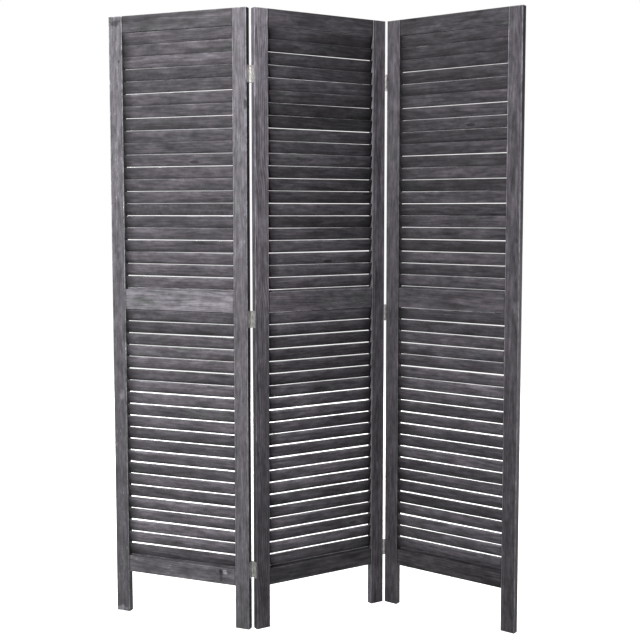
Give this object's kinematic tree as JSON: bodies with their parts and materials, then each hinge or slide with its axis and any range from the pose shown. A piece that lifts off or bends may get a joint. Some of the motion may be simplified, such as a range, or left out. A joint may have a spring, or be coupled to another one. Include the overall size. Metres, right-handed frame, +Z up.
{
  "type": "folding screen",
  "caption": "Folding room divider of louvred wooden panels on legs, with fixed tilted slats, standing in a zigzag on butt hinges.",
  "frame": {"origin": "on the floor, under the middle of the half-open screen's bounding box", "axes": "+Z up, +X to the right and +Y towards the back as seen by someone who faces the screen"},
  "size_m": [1.135, 0.2702, 1.7],
  "materials": {
    "frame_wood": "dark grey stain, dry and slightly worn, grain showing",
    "slat_wood": "dark grey stain, streaked, lighter on its edges",
    "dowel_wood": "bare hardwood",
    "hinge_metal": "zinc plated",
    "screw_metal": "zinc plated"
  },
  "bodies": {
    "centre_panel": {"centre_panel_left_stile": "frame_wood", "centre_panel_right_stile": "frame_wood", "centre_panel_top_rail": "frame_wood", "centre_panel_middle_rail": "frame_wood", "centre_panel_bottom_rail": "frame_wood", "centre_panel_upper_slats_top": "slat_wood", "centre_panel_upper_slats_middle": "slat_wood", "centre_panel_upper_slats_bottom": "slat_wood", "centre_panel_lower_slats_top": "slat_wood", "centre_panel_lower_slats_middle": "slat_wood", "centre_panel_lower_slats_bottom": "slat_wood", "centre_panel_dowels": "dowel_wood", "left_top_hinge_centre_leaf": "hinge_metal", "left_top_hinge_pin": "hinge_metal", "left_middle_hinge_centre_leaf": "hinge_metal", "left_middle_hinge_pin": "hinge_metal", "left_bottom_hinge_centre_leaf": "hinge_metal", "left_bottom_hinge_pin": "hinge_metal", "left_hinge_centre_screws": "screw_metal", "right_top_hinge_centre_leaf": "hinge_metal", "right_top_hinge_pin": "hinge_metal", "right_middle_hinge_centre_leaf": "hinge_metal", "right_middle_hinge_pin": "hinge_metal", "right_bottom_hinge_centre_leaf": "hinge_metal", "right_bottom_hinge_pin": "hinge_metal", "right_hinge_centre_screws": "screw_metal"},
    "left_panel": {"left_panel_left_stile": "frame_wood", "left_panel_right_stile": "frame_wood", "left_panel_top_rail": "frame_wood", "left_panel_middle_rail": "frame_wood", "left_panel_bottom_rail": "frame_wood", "left_panel_upper_slats_top": "slat_wood", "left_panel_upper_slats_middle": "slat_wood", "left_panel_upper_slats_bottom": "slat_wood", "left_panel_lower_slats_top": "slat_wood", "left_panel_lower_slats_middle": "slat_wood", "left_panel_lower_slats_bottom": "slat_wood", "left_panel_dowels": "dowel_wood", "left_top_hinge_outer_leaf": "hinge_metal", "left_middle_hinge_outer_leaf": "hinge_metal", "left_bottom_hinge_outer_leaf": "hinge_metal", "left_hinge_outer_screws": "screw_metal"},
    "right_panel": {"right_panel_left_stile": "frame_wood", "right_panel_right_stile": "frame_wood", "right_panel_top_rail": "frame_wood", "right_panel_middle_rail": "frame_wood", "right_panel_bottom_rail": "frame_wood", "right_panel_upper_slats_top": "slat_wood", "right_panel_upper_slats_middle": "slat_wood", "right_panel_upper_slats_bottom": "slat_wood", "right_panel_lower_slats_top": "slat_wood", "right_panel_lower_slats_middle": "slat_wood", "right_panel_lower_slats_bottom": "slat_wood", "right_panel_dowels": "dowel_wood", "right_top_hinge_outer_leaf": "hinge_metal", "right_middle_hinge_outer_leaf": "hinge_metal", "right_bottom_hinge_outer_leaf": "hinge_metal", "right_hinge_outer_screws": "screw_metal"}
  },
  "joints": [
    {"name": "left_fold", "type": "hinge", "parent": "centre_panel", "child": "left_panel", "pos_m": [-0.16391, -0.08485, 0.85], "axis": [0, 0, -1], "range_deg": [-53.3, 126.7]},
    {"name": "right_fold", "type": "hinge", "parent": "centre_panel", "child": "right_panel", "pos_m": [0.21353, 0.11759, 0.85], "axis": [0, 0, -1], "range_deg": [-68.3, 111.7]}
  ]
}
